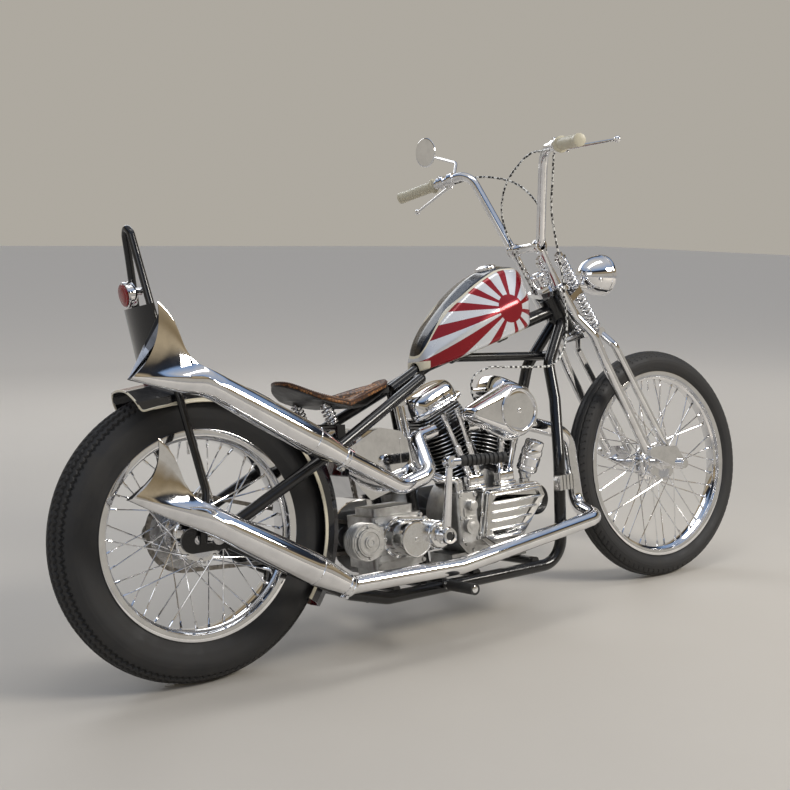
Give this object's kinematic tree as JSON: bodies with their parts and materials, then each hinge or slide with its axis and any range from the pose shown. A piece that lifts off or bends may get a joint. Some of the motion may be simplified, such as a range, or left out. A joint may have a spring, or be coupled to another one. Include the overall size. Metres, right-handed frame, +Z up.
{
  "type": "chopper motorcycle",
  "caption": "A kick-start chopper with a rigid frame, springer fork, tall handlebar, sissy bar, vee-twin engine and fishtail exhausts, leaning on its side stand.",
  "frame": {"origin": "ground plane, at the middle of the leaned motorcycle's footprint", "axes": "+X forward along the motorcycle, +Y to its left, +Z up; the motorcycle leans to its left on its side stand"},
  "size_m": [2.2018, 0.933, 1.3142],
  "materials": {
    "tyre_rubber": "tread and sidewall",
    "rim_rear": "polished",
    "rim_front": "polished",
    "spokes": "polished",
    "frame_paint": "gloss black",
    "tank_paint": "gloss red with cream and white rays",
    "fender_paint": "gloss black with silver and red panels",
    "chrome": "polished",
    "seat_leather": "tooled",
    "black_steel": "satin black",
    "engine_alloy": "cast",
    "polished_alloy": "polished",
    "barrel_iron": "painted black",
    "black_enamel": "gloss black",
    "chain_steel": "oiled",
    "sprocket_steel": "machined",
    "battery_case": "moulded",
    "braided_line": "braided",
    "peg_rubber": "ribbed",
    "grip_rubber": "cream",
    "red_lens": "moulded",
    "lamp_glass": "clear",
    "cable_sheath": "spiral"
  },
  "bodies": {
    "chassis": {"air_cleaner": "chrome", "battery": "battery_case", "carburettor": "polished_alloy", "carburettor_cable": "cable_sheath", "crankcase": "engine_alloy", "cylinders": "barrel_iron", "drive_chain": "chain_steel", "filler_cap": "chrome", "foot_pegs": "peg_rubber", "frame": "frame_paint", "fuel_tank": "tank_paint", "gear_case": "engine_alloy", "gearbox": "engine_alloy", "generator": "black_enamel", "ignition_timer": "chrome", "kick_starter": "chrome", "kicker_cover": "engine_alloy", "lower_exhaust": "chrome", "number_plate": "black_steel", "oil_lines": "braided_line", "oil_pump": "chrome", "oil_tank": "chrome", "primary_cover": "polished_alloy", "pushrod_tubes": "chrome", "rear_axle": "chrome", "rear_fender": "fender_paint", "regulator": "polished_alloy", "rocker_covers": "chrome", "seat": "seat_leather", "seat_pan": "black_steel", "seat_springs": "black_steel", "sissy_bar": "black_steel", "starter_motor": "engine_alloy", "tail_lens": "red_lens", "tail_light": "chrome", "timing_cover": "polished_alloy", "upper_exhaust": "chrome"},
    "fork": {"fork_rigid_legs": "chrome", "fork_spring_legs": "chrome", "fork_springs": "chrome", "fork_rockers": "chrome", "steering_damper": "chrome", "risers": "chrome", "handlebar": "chrome", "grips": "grip_rubber", "hand_levers": "chrome", "rear_view_mirror": "chrome", "headlight": "chrome", "headlight_lens": "lamp_glass", "control_cables": "cable_sheath"},
    "front_wheel": {"front_tyre": "tyre_rubber", "front_rim": "rim_front", "front_spokes": "spokes"},
    "rear_wheel": {"rear_tyre": "tyre_rubber", "rear_rim": "rim_rear", "rear_spokes": "spokes", "rear_sprocket": "sprocket_steel"},
    "side_stand": {"side_stand": "chrome"}
  },
  "joints": [
    {"name": "steering", "type": "hinge", "parent": "chassis", "child": "fork", "pos_m": [0.40712, -0.09721, 0.7984], "axis": [-0.4924, 0.1556, 0.8563], "range_deg": [-30, 30]},
    {"name": "front_wheel_spin", "type": "hinge", "parent": "fork", "child": "front_wheel", "pos_m": [0.758, -0.18087, 0.33807], "axis": [0, 0.9839, -0.1788], "continuous": true},
    {"name": "rear_wheel_spin", "type": "hinge", "parent": "chassis", "child": "rear_wheel", "pos_m": [-0.76, -0.18118, 0.33637], "axis": [0, 0.9839, -0.1788], "continuous": true},
    {"name": "side_stand_fold", "type": "hinge", "parent": "chassis", "child": "side_stand", "pos_m": [0.07, -0.07613, 0.09786], "axis": [-0.003, 0.6377, 0.7702], "range_deg": [0, 93.9]}
  ]
}
